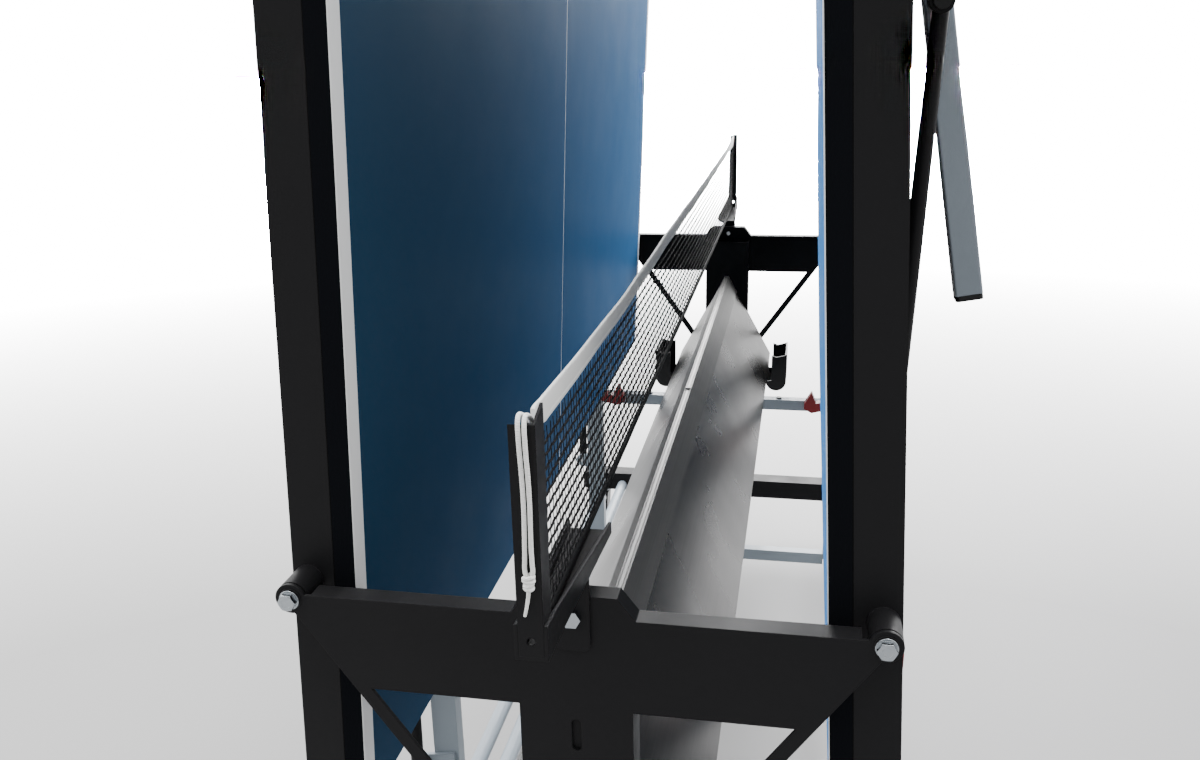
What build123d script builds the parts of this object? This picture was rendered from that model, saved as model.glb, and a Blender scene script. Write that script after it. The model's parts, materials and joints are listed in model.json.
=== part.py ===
from build123d import *
import os
from math import atan2, cos, degrees, hypot, pi, radians, sin, sqrt, tan

# Ping pong table that folds in two halves about its central undercarriage, stored upright.
# X runs along the playing direction, Y across the table, Z up; the origin is on the floor
# under the net's middle. "left" and "right" are the halves at -X and +X, "near" and "far"
# the ends at -Y and +Y. "Along" runs up a stored half from its hinge line, "depth" runs
# from the playing surface to the underside.

# ---- driving dimensions (mm, degrees) ----
TABLE_WIDTH = 1525.0
HALF_LENGTH = 1370.0
PLAY_HEIGHT = 760.0
BOARD = 19.0            # board thickness
APRON = 36.0            # apron height under the board
APRON_FLANGE = 20.0     # width of the apron's two flanges
APRON_SHEET = 1.5
HINGE_X = 229.0         # hinge line from the net's plane
HINGE_DEPTH = 41.0      # hinge line under the playing surface
HALF_GAP = 3.0          # from the net's plane to a half that is down
LEAN = 2.9              # a stored half leans in at its top
HINGE_TUBE_R = 12.5
HINGE_BOLT_R = 4.0
PLATE = 3.0             # end plate sheet
PLATE_GAP = 31.5        # apron to the end plate's inner face
PLATE_FLANGE = 18.0
POST_WIDTH = 90.0
POST_DEEP = 28.0
FOOT = 40.0             # square foot tube
FOOT_OUT = 91.0         # foot tube's end outside the hinge line
TUBE_WALL = 2.0
CASTOR_OUT = 61.0       # castors outside the hinge line
WHEEL_R = 50.0
HUB_R = 36.0
TYRE_WIDTH = 32.0
TRAIL = 30.0            # castor axle behind its kingpin
KINGPIN_R = 6.0
AXLE_R = 5.0
FORK_WALL = 4.0
FORK_ROOM = 18.0        # from the tyre's crown to the fork's top plate
PORTAL_Y = 465.0
PORTAL_TUBE = 20.0
PORTAL_LEG = 30.0
PORTAL_OUT = 5.0        # portal leg's centre outside the hinge line
ARM_OUT = 46.0          # portal arm's end and outer rail outside the hinge line
ARM_UNDER = 24.0        # portal's top arm under a stored half's inner edge
RAIL_R = 11.0
SHEET = 2.0             # beam sheet
BEAM_RIDGE = (4.5, -82.0)
BEAM_FOLD = (22.0, -115.0)
BEAM_FOOT = 96.0
LEG_TUBE = 25.0
LEG_Y = 455.0
LEG_FROM_END = 264.0    # leg hinge from the player's end of the board
LEG_DEPTH = 44.5        # leg hinge under the playing surface
LEG_FOLD = 7.3          # a stored leg stands off its half
LEG_PIN_R = 5.0
LEVEL_CAP = 5.0
STAY_ON_LEG = 445.0     # leg hinge to the stay's upper pivot
STAY_R = 7.5
STAY_OUT = 37.0         # stay's lower pivot outside the hinge line
STAY_BOWS = ((203.0, 3.2), (443.0, 15.9))  # up the stay, and how far it bows in there
STAY_PIN_R = 4.0
LEVER_OUT = 33.0        # lever's pivot outside the hinge line
LEVER_THICK = 18.0
LEVER_OPEN = 14.5       # released lever from its locking place
LEVER_PIN_R = 4.0
NET_HEIGHT = 152.5
NET_OVER = 126.5        # net's end outside the side line
NET_THICK = 1.5
TAPE = 15.0
TAPE_THICK = 3.0
POST_OVER = 152.5       # net post's outer face outside the side line
POST_TUBE = 17.0        # net post across its faces
NET_POST_DEEP = 21.0
NET_POST_TOP = 202.0    # outer wall's top over the hinge line
NET_POST_HORN = 209.0   # inner corner of its +X wall
NET_POST_DIP = 190.0    # inner corner of its -X wall
NET_WALL = 2.0
ARM_FLOOR = 2.4
ARM_GAP = 0.6           # net arm over the playing surface
CORD_R = 1.5
RUN_FIT = 0.05          # radial clearance of a turning pin
SEAT_FIT = 0.05         # radial clearance of a seated bush
AXIAL = 0.5             # side clearance between moving pieces

# ---- derived places ----
HALF_WIDTH = TABLE_WIDTH / 2
HINGE_Z = PLAY_HEIGHT - HINGE_DEPTH
EDGE_IN = HINGE_X - HALF_GAP
EDGE_OUT = HALF_LENGTH - EDGE_IN
LEG_ALONG = EDGE_OUT - LEG_FROM_END
ARM_TOP = -EDGE_IN - ARM_UNDER          # heights from the hinge line down are negative
CASTOR_X = HINGE_X + CASTOR_OUT
FOOT_LENGTH = 2 * (HINGE_X + FOOT_OUT)
PORTAL_LEG_X = HINGE_X + PORTAL_OUT
ARM_REACH = HINGE_X + ARM_OUT
RAIL_OUT_X = HINGE_X + ARM_OUT
STAY_X = HINGE_X + STAY_OUT
LEVER_X = HINGE_X + LEVER_OUT
LEVER_PIVOT = ARM_TOP - PORTAL_TUBE / 2
NET_REACH = HALF_WIDTH + NET_OVER
NET_POST_Y = HALF_WIDTH + POST_OVER - NET_POST_DEEP / 2
UNDERSIDE = BOARD + APRON
PLATE_IN = HALF_WIDTH + PLATE_GAP
PLATE_OUT = PLATE_IN + PLATE
FORK_TOP = 2 * WHEEL_R + FORK_ROOM + FORK_WALL
BEARING_FLANGE = 5.0
FOOT_BOTTOM = FORK_TOP + AXIAL + BEARING_FLANGE
POST_IN = PLATE_IN - POST_DEEP
FOOT_Y = PLATE_IN - POST_DEEP / 2
RAIL_Z = FOOT_BOTTOM + RAIL_R + 1.0
SIDES = {"left": -1, "right": 1}
ENDS = {"near": -1, "far": 1}

os.makedirs("parts", exist_ok=True)


def save(piece, name):
    """Label a finished piece and write it."""
    piece.part.label = name
    export_step(piece.part, f"parts/{name}.step")


def across(y):
    """Upright plane at one Y: local x is X, local y is height."""
    return Plane(origin=(0, y, 0), x_dir=(1, 0, 0), z_dir=(0, -1, 0))


def lengthwise(x):
    """Upright plane at one X: local x is Y, local y is height."""
    return Plane(origin=(x, 0, 0), x_dir=(0, 1, 0), z_dir=(1, 0, 0))


def half_point(side, along, depth, y=0.0):
    """A point of a stored half, from its hinge line and playing surface."""
    lean = radians(LEAN)
    out = depth - HINGE_DEPTH
    return (side * (HINGE_X - along * sin(lean) + out * cos(lean)), y,
            HINGE_Z + along * cos(lean) + out * sin(lean))


def board_plane(side, depth):
    """Plane in a stored half: local x runs along it, its normal is the underside's."""
    lean = radians(LEAN)
    return Plane(origin=half_point(side, 0, depth), x_dir=(-side * sin(lean), 0, cos(lean)),
                 z_dir=(side * cos(lean), 0, sin(lean)))


def section_plane(side, y):
    """Section of a stored half at one Y: local x runs along it, local y is depth."""
    lean = radians(LEAN)
    return Plane(origin=half_point(side, 0, 0, y), x_dir=(-side * sin(lean), 0, cos(lean)),
                 z_dir=(0, side, 0))


def leg_plane(side, down, y=0.0):
    """Plane square to a stored leg, at a distance down it from its hinge."""
    slope = radians(LEG_FOLD + LEAN)
    hinge = half_point(side, LEG_ALONG, LEG_DEPTH)
    way = (side * sin(slope), 0, -cos(slope))
    return Plane(origin=(hinge[0] + way[0] * down, y, hinge[2] + way[2] * down),
                 x_dir=(0, 1, 0), z_dir=way)


def mirrored(points, side):
    """Outline drawn for the right side, moved to one side."""
    return [(side * x, z) for x, z in points]


# The stay's lower pivot is as far from its upper pivot stored as it is in play.
SLOPE = radians(LEG_FOLD + LEAN)
LEG_TOP = half_point(1, LEG_ALONG, LEG_DEPTH)
STAY_UP = (LEG_TOP[0] + STAY_ON_LEG * sin(SLOPE), LEG_TOP[2] - STAY_ON_LEG * cos(SLOPE))
STAY_PLAY = (HINGE_X + LEG_ALONG, PLAY_HEIGHT - LEG_DEPTH - STAY_ON_LEG)
STAY_Z = ((STAY_PLAY[0] - STAY_X) ** 2 + STAY_PLAY[1] ** 2 - (STAY_UP[0] - STAY_X) ** 2
          - STAY_UP[1] ** 2) / (2 * (STAY_PLAY[1] - STAY_UP[1]))
STAY_LENGTH = hypot(STAY_UP[0] - STAY_X, STAY_UP[1] - STAY_Z)
STAY_STORED = degrees(atan2(STAY_UP[0] - STAY_X, STAY_UP[1] - STAY_Z))
STAY_IN_PLAY = degrees(atan2(STAY_PLAY[0] - STAY_X, STAY_PLAY[1] - STAY_Z))
FOLD_TURN = 90 + LEAN
LEG_TURN = 90 - LEG_FOLD
STAY_TURN = STAY_IN_PLAY - STAY_STORED
EAR = 4.5
STAY_IN = PORTAL_Y + PORTAL_TUBE / 2 + EAR + AXIAL
STAY_THICK = 16.0
STAY_Y = STAY_IN + STAY_THICK / 2
print("hinge line", HINGE_X, HINGE_Z, "fold", FOLD_TURN, "leg", LEG_TURN, "stay", round(STAY_TURN, 3))
print("leg hinge", [round(v, 3) for v in LEG_TOP], "stay lower", STAY_X, round(STAY_Z, 3),
      "stay upper", [round(v, 3) for v in STAY_UP], "length", round(STAY_LENGTH, 2))
print("leg ratio", round(-LEG_TURN / FOLD_TURN, 6), "stay ratio", round(STAY_TURN / FOLD_TURN, 6))

# ---- end plates: folded sheets that carry the hinges ----
WING_TOP = 4.0
BUMP_TOP = 22.0
BUMP_HALF = 34.0
BUMP_FOOT = 48.0
WINDOW_TOP = -76.0
STRUT_SLOPE = 1.42       # strut's fall over its reach
STRUT_WIDE = 13.6        # strut measured level
STRUT_START = (HINGE_X + 4.1, -2.9)
PLATE_END = -330.0
NET_BOLT_Z = 6.0
NET_BOLT_R = 4.0
HOLE_PLAY = 0.4
BUSH_WALL = 2.0
BUSH_R = HINGE_BOLT_R + RUN_FIT + BUSH_WALL
PLATE_SLOT = (29.0, 7.5, -100.5)
POST_BOLTS = (25.0, -300.0)

strut_end = STRUT_START[1] - (STRUT_START[0] - POST_WIDTH / 2) * STRUT_SLOPE
window_x = STRUT_START[0] - (STRUT_START[1] - WINDOW_TOP) / STRUT_SLOPE - STRUT_WIDE
window_end = WINDOW_TOP - (window_x - POST_WIDTH / 2) * STRUT_SLOPE
plate_half = [(0, BUMP_TOP), (BUMP_HALF, BUMP_TOP), (BUMP_FOOT, WING_TOP), (HINGE_X, WING_TOP),
              STRUT_START, (POST_WIDTH / 2, strut_end), (POST_WIDTH / 2, PLATE_END), (0, PLATE_END)]
window = [(POST_WIDTH / 2, WINDOW_TOP), (window_x, WINDOW_TOP), (POST_WIDTH / 2, window_end)]
wing_end = HINGE_X - HINGE_TUBE_R - 4.5
flange_half = [(0, BUMP_TOP), (BUMP_HALF, BUMP_TOP), (BUMP_FOOT, WING_TOP), (wing_end, WING_TOP),
               (wing_end, WING_TOP - PLATE), (BUMP_FOOT - PLATE / 2, WING_TOP - PLATE),
               (BUMP_HALF - PLATE / 2, BUMP_TOP - PLATE), (0, BUMP_TOP - PLATE)]


def above(points):
    """Heights given from the hinge line, moved to heights above the floor."""
    return [(x, z + HINGE_Z) for x, z in points]


for end, way in ENDS.items():
    with BuildPart() as end_plate:
        with BuildSketch(across(way * (PLATE_IN + PLATE / 2))):
            for side in (-1, 1):
                Polygon(*mirrored(above(plate_half), side), align=None)
                with Locations((side * HINGE_X, HINGE_Z)):
                    Circle(HINGE_TUBE_R)
            for side in (-1, 1):
                Polygon(*mirrored(above(window), side), align=None, mode=Mode.SUBTRACT)
                with Locations((side * HINGE_X, HINGE_Z)):
                    Circle(BUSH_R + SEAT_FIT, mode=Mode.SUBTRACT)
                with Locations((side * POST_BOLTS[0], HINGE_Z + POST_BOLTS[1])):
                    Circle(NET_BOLT_R + HOLE_PLAY, mode=Mode.SUBTRACT)
            with Locations((0, HINGE_Z + PLATE_SLOT[2])):
                SlotOverall(PLATE_SLOT[0], PLATE_SLOT[1], rotation=90, mode=Mode.SUBTRACT)
            with Locations((0, HINGE_Z + NET_BOLT_Z)):
                Circle(NET_BOLT_R + HOLE_PLAY, mode=Mode.SUBTRACT)
        extrude(amount=PLATE / 2, both=True)
        with BuildSketch(across(way * (PLATE_OUT - PLATE_FLANGE / 2))):
            for side in (-1, 1):
                Polygon(*mirrored(above(flange_half), side), align=None)
        extrude(amount=PLATE_FLANGE / 2, both=True)
    save(end_plate, f"end_plate_{end}")

# ---- stands: a post welded on a foot tube ----
POST_TOP = HINGE_Z - 8.0
for end, way in ENDS.items():
    with BuildPart() as stand:
        with BuildSketch(Plane.XY.offset(FOOT_BOTTOM + FOOT)):
            with Locations((0, way * FOOT_Y)):
                Rectangle(POST_WIDTH, POST_DEEP)
                Rectangle(POST_WIDTH - 2 * TUBE_WALL, POST_DEEP - 2 * TUBE_WALL, mode=Mode.SUBTRACT)
        extrude(amount=POST_TOP - FOOT_BOTTOM - FOOT)
        with BuildSketch(lengthwise(0)):
            with Locations((way * FOOT_Y, FOOT_BOTTOM + FOOT / 2)):
                Rectangle(FOOT, FOOT)
                Rectangle(FOOT - 2 * TUBE_WALL, FOOT - 2 * TUBE_WALL, mode=Mode.SUBTRACT)
        extrude(amount=FOOT_LENGTH / 2, both=True)
        with Locations((-CASTOR_X, way * FOOT_Y, FOOT_BOTTOM), (CASTOR_X, way * FOOT_Y, FOOT_BOTTOM)):
            Cylinder(KINGPIN_R + 5.0, 3 * TUBE_WALL, mode=Mode.SUBTRACT)
        with BuildSketch(across(way * PLATE_IN)):
            for side in (-1, 1):
                with Locations((side * POST_BOLTS[0], HINGE_Z + POST_BOLTS[1])):
                    Circle(NET_BOLT_R + HOLE_PLAY)
        extrude(amount=2 * TUBE_WALL, both=True, mode=Mode.SUBTRACT)
    save(stand, f"stand_{end}")

# ---- castors: bearing, fork with its axle, hub, tyre and brake pedal ----
with BuildPart() as castor_bearings:
    for way in ENDS.values():
        for side in SIDES.values():
            with BuildSketch(Plane.XY.offset(FORK_TOP + AXIAL)):
                with Locations((side * CASTOR_X, way * FOOT_Y)):
                    Circle(28.0)
            extrude(amount=BEARING_FLANGE)
            with BuildSketch(Plane.XY.offset(FOOT_BOTTOM)):
                with Locations((side * CASTOR_X, way * FOOT_Y)):
                    Circle(KINGPIN_R + 4.5)
            extrude(amount=12.0)
            with Locations((side * CASTOR_X, way * FOOT_Y, FOOT_BOTTOM)):
                Cylinder(KINGPIN_R + RUN_FIT, 60.0, mode=Mode.SUBTRACT)
save(castor_bearings, "castor_bearings")

FORK_IN = TYRE_WIDTH / 2 + 2.0
FORK_HALF = FORK_IN + FORK_WALL
BRAKE_CLEAR = 16.573           # brake pivot outside the tyre's crown
BRAKE_AT = radians(32.735)     # its place round the wheel from the top
BRAKE_PIVOT = (-TRAIL - (WHEEL_R + BRAKE_CLEAR) * sin(BRAKE_AT),
               WHEEL_R + (WHEEL_R + BRAKE_CLEAR) * cos(BRAKE_AT))
BRAKE_EAR = 8.0
BRAKE_PIN_R = 3.0
BRAKE_TURN = 12.0
BRAKED = (("near", "left"), ("far", "right"))
for end, way in ENDS.items():
    for name, side in SIDES.items():
        braked = (end, name) in BRAKED
        kx = side * CASTOR_X
        ky = way * FOOT_Y
        with BuildPart() as castor_fork:
            with BuildSketch(Plane.XY.offset(FORK_TOP - FORK_WALL)):
                with Locations((kx, ky)):
                    Circle(25.0)
            extrude(amount=FORK_WALL)
            with BuildSketch(lengthwise(kx)):
                cheek = [(ky + 22, FORK_TOP - FORK_WALL), (ky - 24, FORK_TOP - FORK_WALL)]
                if braked:
                    cheek += [(ky + BRAKE_PIVOT[0], BRAKE_PIVOT[1] + BRAKE_EAR),
                              (ky + BRAKE_PIVOT[0], BRAKE_PIVOT[1] - BRAKE_EAR)]
                cheek += [(ky - TRAIL - 14, WHEEL_R), (ky - TRAIL + 14, WHEEL_R)]
                Polygon(*cheek, align=None)
                with Locations((ky - TRAIL, WHEEL_R)):
                    Circle(14.0)
                if braked:
                    with Locations((ky + BRAKE_PIVOT[0], BRAKE_PIVOT[1])):
                        Circle(BRAKE_EAR)
            extrude(amount=FORK_HALF, both=True)
            with Locations((kx, ky - TRAIL, 0)):
                Box(2 * FORK_IN, 160.0, 2 * (FORK_TOP - 2 * FORK_WALL - 4), mode=Mode.SUBTRACT)
            with BuildSketch(Plane.XY.offset(FORK_TOP)):
                with Locations((kx, ky)):
                    Circle(KINGPIN_R)
            extrude(amount=24.0)
            if braked:
                with Locations((kx, ky - TRAIL - 50.0, FORK_TOP)):
                    Box(2 * FORK_IN, 50.0, 60.0, mode=Mode.SUBTRACT)
            with BuildSketch(lengthwise(kx)):
                with Locations((ky - TRAIL, WHEEL_R)):
                    Circle(AXLE_R)
                if braked:
                    with Locations((ky + BRAKE_PIVOT[0], BRAKE_PIVOT[1])):
                        Circle(BRAKE_PIN_R)
            extrude(amount=FORK_HALF + 2.0, both=True)
        save(castor_fork, f"castor_fork_{end}_{name}")
        with BuildPart() as castor_hub:
            with BuildSketch(lengthwise(kx)):
                with Locations((ky - TRAIL, WHEEL_R)):
                    Circle(HUB_R)
                    Circle(AXLE_R + RUN_FIT, mode=Mode.SUBTRACT)
            extrude(amount=TYRE_WIDTH / 2 - 4.0, both=True)
            with BuildSketch(lengthwise(kx)):
                with Locations((ky - TRAIL, WHEEL_R)):
                    Circle(AXLE_R + 6.0)
                    Circle(AXLE_R + RUN_FIT, mode=Mode.SUBTRACT)
            extrude(amount=FORK_IN - AXIAL, both=True)
        save(castor_hub, f"castor_hub_{end}_{name}")
        with BuildPart() as castor_tyre:
            with BuildSketch(lengthwise(kx)):
                with Locations((ky - TRAIL, WHEEL_R)):
                    Circle(WHEEL_R)
                    Circle(HUB_R, mode=Mode.SUBTRACT)
            extrude(amount=TYRE_WIDTH / 2, both=True)
            fillet(castor_tyre.edges().filter_by(GeomType.CIRCLE).group_by(SortBy.RADIUS)[-1], 5.0)
        save(castor_tyre, f"castor_tyre_{end}_{name}")
        if not braked:
            continue
        px = ky + BRAKE_PIVOT[0]
        pz = BRAKE_PIVOT[1]
        with BuildPart() as castor_brake:
            with BuildSketch(lengthwise(kx)):
                with Locations((px, pz)):
                    Circle(6.5)
                Polygon((px + 4, pz + 5), (px - 34, pz + 9), (px - 36, pz + 4), (px - 2, pz - 5),
                        align=None)
                Polygon((px - 5, pz - 3), (px + 1, pz - 13), (px + 6, pz - 2), align=None)
                with Locations((px, pz)):
                    Circle(BRAKE_PIN_R + RUN_FIT, mode=Mode.SUBTRACT)
            extrude(amount=FORK_IN - AXIAL, both=True)
        save(castor_brake, f"castor_brake_{end}_{name}")

# ---- undercarriage: grey portals, rails, folded beam ----
BAR_BOTTOM = RAIL_Z - RAIL_R
LEVER_Z = HINGE_Z + LEVER_PIVOT
for end, way in ENDS.items():
    y = way * PORTAL_Y
    with BuildPart() as portal:
        with BuildSketch(lengthwise(0)):
            with Locations((y, HINGE_Z + ARM_TOP - PORTAL_TUBE / 2)):
                Rectangle(PORTAL_TUBE, PORTAL_TUBE)
                Rectangle(PORTAL_TUBE - 3, PORTAL_TUBE - 3, mode=Mode.SUBTRACT)
        extrude(amount=ARM_REACH, both=True)
        with BuildSketch(lengthwise(0)):
            with Locations((y, RAIL_Z)):
                Rectangle(PORTAL_TUBE, 2 * RAIL_R)
                Rectangle(PORTAL_TUBE - 3, 2 * RAIL_R - 3, mode=Mode.SUBTRACT)
        extrude(amount=PORTAL_LEG_X - PORTAL_LEG / 2, both=True)
        for side in SIDES.values():
            with BuildSketch(Plane.XY.offset(RAIL_Z)):
                with Locations((side * PORTAL_LEG_X, y)):
                    Rectangle(PORTAL_LEG, PORTAL_TUBE)
                    Rectangle(PORTAL_LEG - 3, PORTAL_TUBE - 3, mode=Mode.SUBTRACT)
            extrude(amount=HINGE_Z + ARM_TOP - PORTAL_TUBE - RAIL_Z)
            with BuildSketch(across(way * (PORTAL_Y + PORTAL_TUBE / 2 + EAR / 2))):
                ear_in = side * (PORTAL_LEG_X - PORTAL_LEG / 2 + 4)
                Polygon((ear_in, STAY_Z + 18), (side * STAY_X, STAY_Z + 12),
                        (side * STAY_X, STAY_Z - 12), (ear_in, STAY_Z - 18), align=None)
                with Locations((side * STAY_X, STAY_Z)):
                    Circle(12.0)
                    Circle(STAY_PIN_R, mode=Mode.SUBTRACT)
            extrude(amount=EAR / 2, both=True)
            with BuildSketch(across(y)):
                with Locations((side * PORTAL_LEG_X, RAIL_Z)):
                    Circle(RAIL_R)
                with Locations((side * LEVER_X, LEVER_Z)):
                    Circle(LEVER_PIN_R)
            extrude(amount=PORTAL_TUBE, both=True, mode=Mode.SUBTRACT)
    save(portal, f"portal_{end}")

with BuildPart() as lower_rails:
    for x in (-RAIL_OUT_X, -PORTAL_LEG_X, PORTAL_LEG_X, RAIL_OUT_X):
        with BuildSketch(across(0)):
            with Locations((x, RAIL_Z)):
                Circle(RAIL_R)
                Circle(RAIL_R - 1.5, mode=Mode.SUBTRACT)
        extrude(amount=FOOT_Y - FOOT / 2, both=True)
save(lower_rails, "lower_rails")

with BuildPart() as tube_plugs:
    for way in ENDS.values():
        for side in SIDES.values():
            with BuildSketch(lengthwise(side * FOOT_LENGTH / 2)):
                with Locations((way * FOOT_Y, FOOT_BOTTOM + FOOT / 2)):
                    RectangleRounded(FOOT, FOOT, 3)
            extrude(amount=side * 4.0)
            with BuildSketch(lengthwise(side * ARM_REACH)):
                with Locations((way * PORTAL_Y, HINGE_Z + ARM_TOP - PORTAL_TUBE / 2)):
                    RectangleRounded(PORTAL_TUBE, PORTAL_TUBE, 2)
            extrude(amount=side * 3.0)
save(tube_plugs, "tube_plugs")

LIP = 16.0
with BuildPart() as centre_beam:
    with BuildSketch(across(0)):
        half = [(BEAM_RIDGE[0], BEAM_RIDGE[1]), BEAM_FOLD, (BEAM_FOOT, ARM_TOP)]
        loop = half + [(-x, z) for x, z in reversed(half)]
        Polygon(*above(loop), align=None)
        offset(amount=-SHEET, mode=Mode.SUBTRACT)
        with Locations((0, HINGE_Z + ARM_TOP)):
            Rectangle(2 * (BEAM_FOOT - LIP), 3 * SHEET, mode=Mode.SUBTRACT)
    extrude(amount=POST_IN, both=True)
save(centre_beam, "centre_beam")

STRIP = 1.5
with BuildPart() as beam_strip:
    with BuildSketch(Plane.XY.offset(HINGE_Z + BEAM_RIDGE[1])):
        Rectangle(2 * BEAM_RIDGE[0], 2 * POST_IN)
    extrude(amount=STRIP)
save(beam_strip, "beam_strip")

# ---- halves: board, apron, cross tubes and leg brackets ----
BAR = 25.0
BAR_ALONG = (215.0, EDGE_OUT - 204.0)
BRACKET = 4.0
bar_depth = BOARD + APRON_SHEET
for name, side in SIDES.items():
    with BuildPart() as board:
        with BuildSketch(board_plane(side, 0)):
            with Locations(((EDGE_OUT - EDGE_IN) / 2, 0)):
                Rectangle(HALF_LENGTH, TABLE_WIDTH)
        extrude(amount=BOARD)
    save(board, f"board_{name}")
    with BuildPart() as apron:
        with BuildSketch(board_plane(side, BOARD)):
            with Locations(((EDGE_OUT - EDGE_IN) / 2, 0)):
                Rectangle(HALF_LENGTH, TABLE_WIDTH)
                Rectangle(HALF_LENGTH - 2 * APRON_FLANGE, TABLE_WIDTH - 2 * APRON_FLANGE,
                          mode=Mode.SUBTRACT)
        extrude(amount=APRON)
        with BuildSketch(board_plane(side, BOARD + APRON_SHEET)):
            with Locations(((EDGE_OUT - EDGE_IN) / 2, 0)):
                Rectangle(HALF_LENGTH - 2 * APRON_SHEET, TABLE_WIDTH - 2 * APRON_SHEET)
        extrude(amount=APRON - 2 * APRON_SHEET, mode=Mode.SUBTRACT)
        for way in ENDS.values():
            tube_end = PLATE_IN - 1.0 - AXIAL
            with BuildSketch(across(way * (HALF_WIDTH + tube_end) / 2)):
                with Locations((side * HINGE_X, HINGE_Z)):
                    Circle(HINGE_TUBE_R)
                    Circle(HINGE_BOLT_R + 2 * RUN_FIT, mode=Mode.SUBTRACT)
            extrude(amount=(tube_end - HALF_WIDTH) / 2, both=True)
    save(apron, f"apron_{name}")
    with BuildPart() as underframe:
        for along in BAR_ALONG:
            with BuildSketch(section_plane(side, 0)):
                with Locations((along, bar_depth + BAR / 2)):
                    Rectangle(BAR, BAR)
                    Rectangle(BAR - 3, BAR - 3, mode=Mode.SUBTRACT)
            extrude(amount=HALF_WIDTH - APRON_SHEET, both=True)
        for way in ENDS.values():
            for inner in (-1, 1):
                y = LEG_Y + inner * (LEG_TUBE / 2 + AXIAL + BRACKET / 2)
                with BuildSketch(section_plane(side, way * y)):
                    Polygon((BAR_ALONG[1] - BAR / 2, bar_depth), (LEG_ALONG - 13, bar_depth),
                            (LEG_ALONG - 13, LEG_DEPTH), (LEG_ALONG, LEG_DEPTH + 13),
                            (BAR_ALONG[1] - BAR / 2, bar_depth + BAR), align=None)
                    with Locations((LEG_ALONG, LEG_DEPTH)):
                        Circle(13.0)
                        Circle(LEG_PIN_R, mode=Mode.SUBTRACT)
                extrude(amount=BRACKET / 2, both=True)
    save(underframe, f"underframe_{name}")
    with BuildPart() as pivot_bolts:
        pin_half = LEG_TUBE / 2 + AXIAL + BRACKET
        for way in ENDS.values():
            with BuildSketch(section_plane(side, way * LEG_Y)):
                with Locations((LEG_ALONG, LEG_DEPTH)):
                    Circle(LEG_PIN_R)
            extrude(amount=pin_half, both=True)
            for inner in (-1, 1):
                y = way * (LEG_Y + inner * (pin_half + 1.5))
                with BuildSketch(section_plane(side, y)):
                    with Locations((LEG_ALONG, LEG_DEPTH)):
                        Circle(LEG_PIN_R + 3.0)
                extrude(amount=1.5, both=True)
            with BuildSketch(across(way * (HALF_WIDTH + 4.0 + PLATE_OUT) / 2)):
                with Locations((side * HINGE_X, HINGE_Z)):
                    Circle(HINGE_BOLT_R)
            extrude(amount=(PLATE_OUT + 2 * AXIAL + 1.5 - HALF_WIDTH - 4.0) / 2, both=True)
            with BuildSketch(across(way * (PLATE_OUT + 2 * AXIAL + 0.75))):
                with Locations((side * HINGE_X, HINGE_Z)):
                    Circle(8.0)
            extrude(amount=0.75, both=True)
            with BuildSketch(across(way * (PLATE_OUT + 2 * AXIAL + 4.25))):
                with Locations((side * HINGE_X, HINGE_Z)):
                    RegularPolygon(6.5, 6, major_radius=False)
            extrude(amount=2.75, both=True)
    save(pivot_bolts, f"pivot_bolts_{name}")

with BuildPart() as hinge_bushes:
    for way in ENDS.values():
        for side in SIDES.values():
            with BuildSketch(across(way * (PLATE_IN + PLATE / 2))):
                with Locations((side * HINGE_X, HINGE_Z)):
                    Circle(BUSH_R)
            extrude(amount=PLATE / 2, both=True)
            for face in (PLATE_IN - 0.5, PLATE_OUT + AXIAL / 2):
                thick = 1.0 if face < PLATE_IN else AXIAL
                with BuildSketch(across(way * face)):
                    with Locations((side * HINGE_X, HINGE_Z)):
                        Circle(BUSH_R + 3.0)
                extrude(amount=thick / 2, both=True)
            with BuildSketch(across(way * (PLATE_IN + PLATE / 2))):
                with Locations((side * HINGE_X, HINGE_Z)):
                    Circle(HINGE_BOLT_R + RUN_FIT)
            extrude(amount=2 * PLATE, both=True, mode=Mode.SUBTRACT)
save(hinge_bushes, "hinge_bushes")

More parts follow.
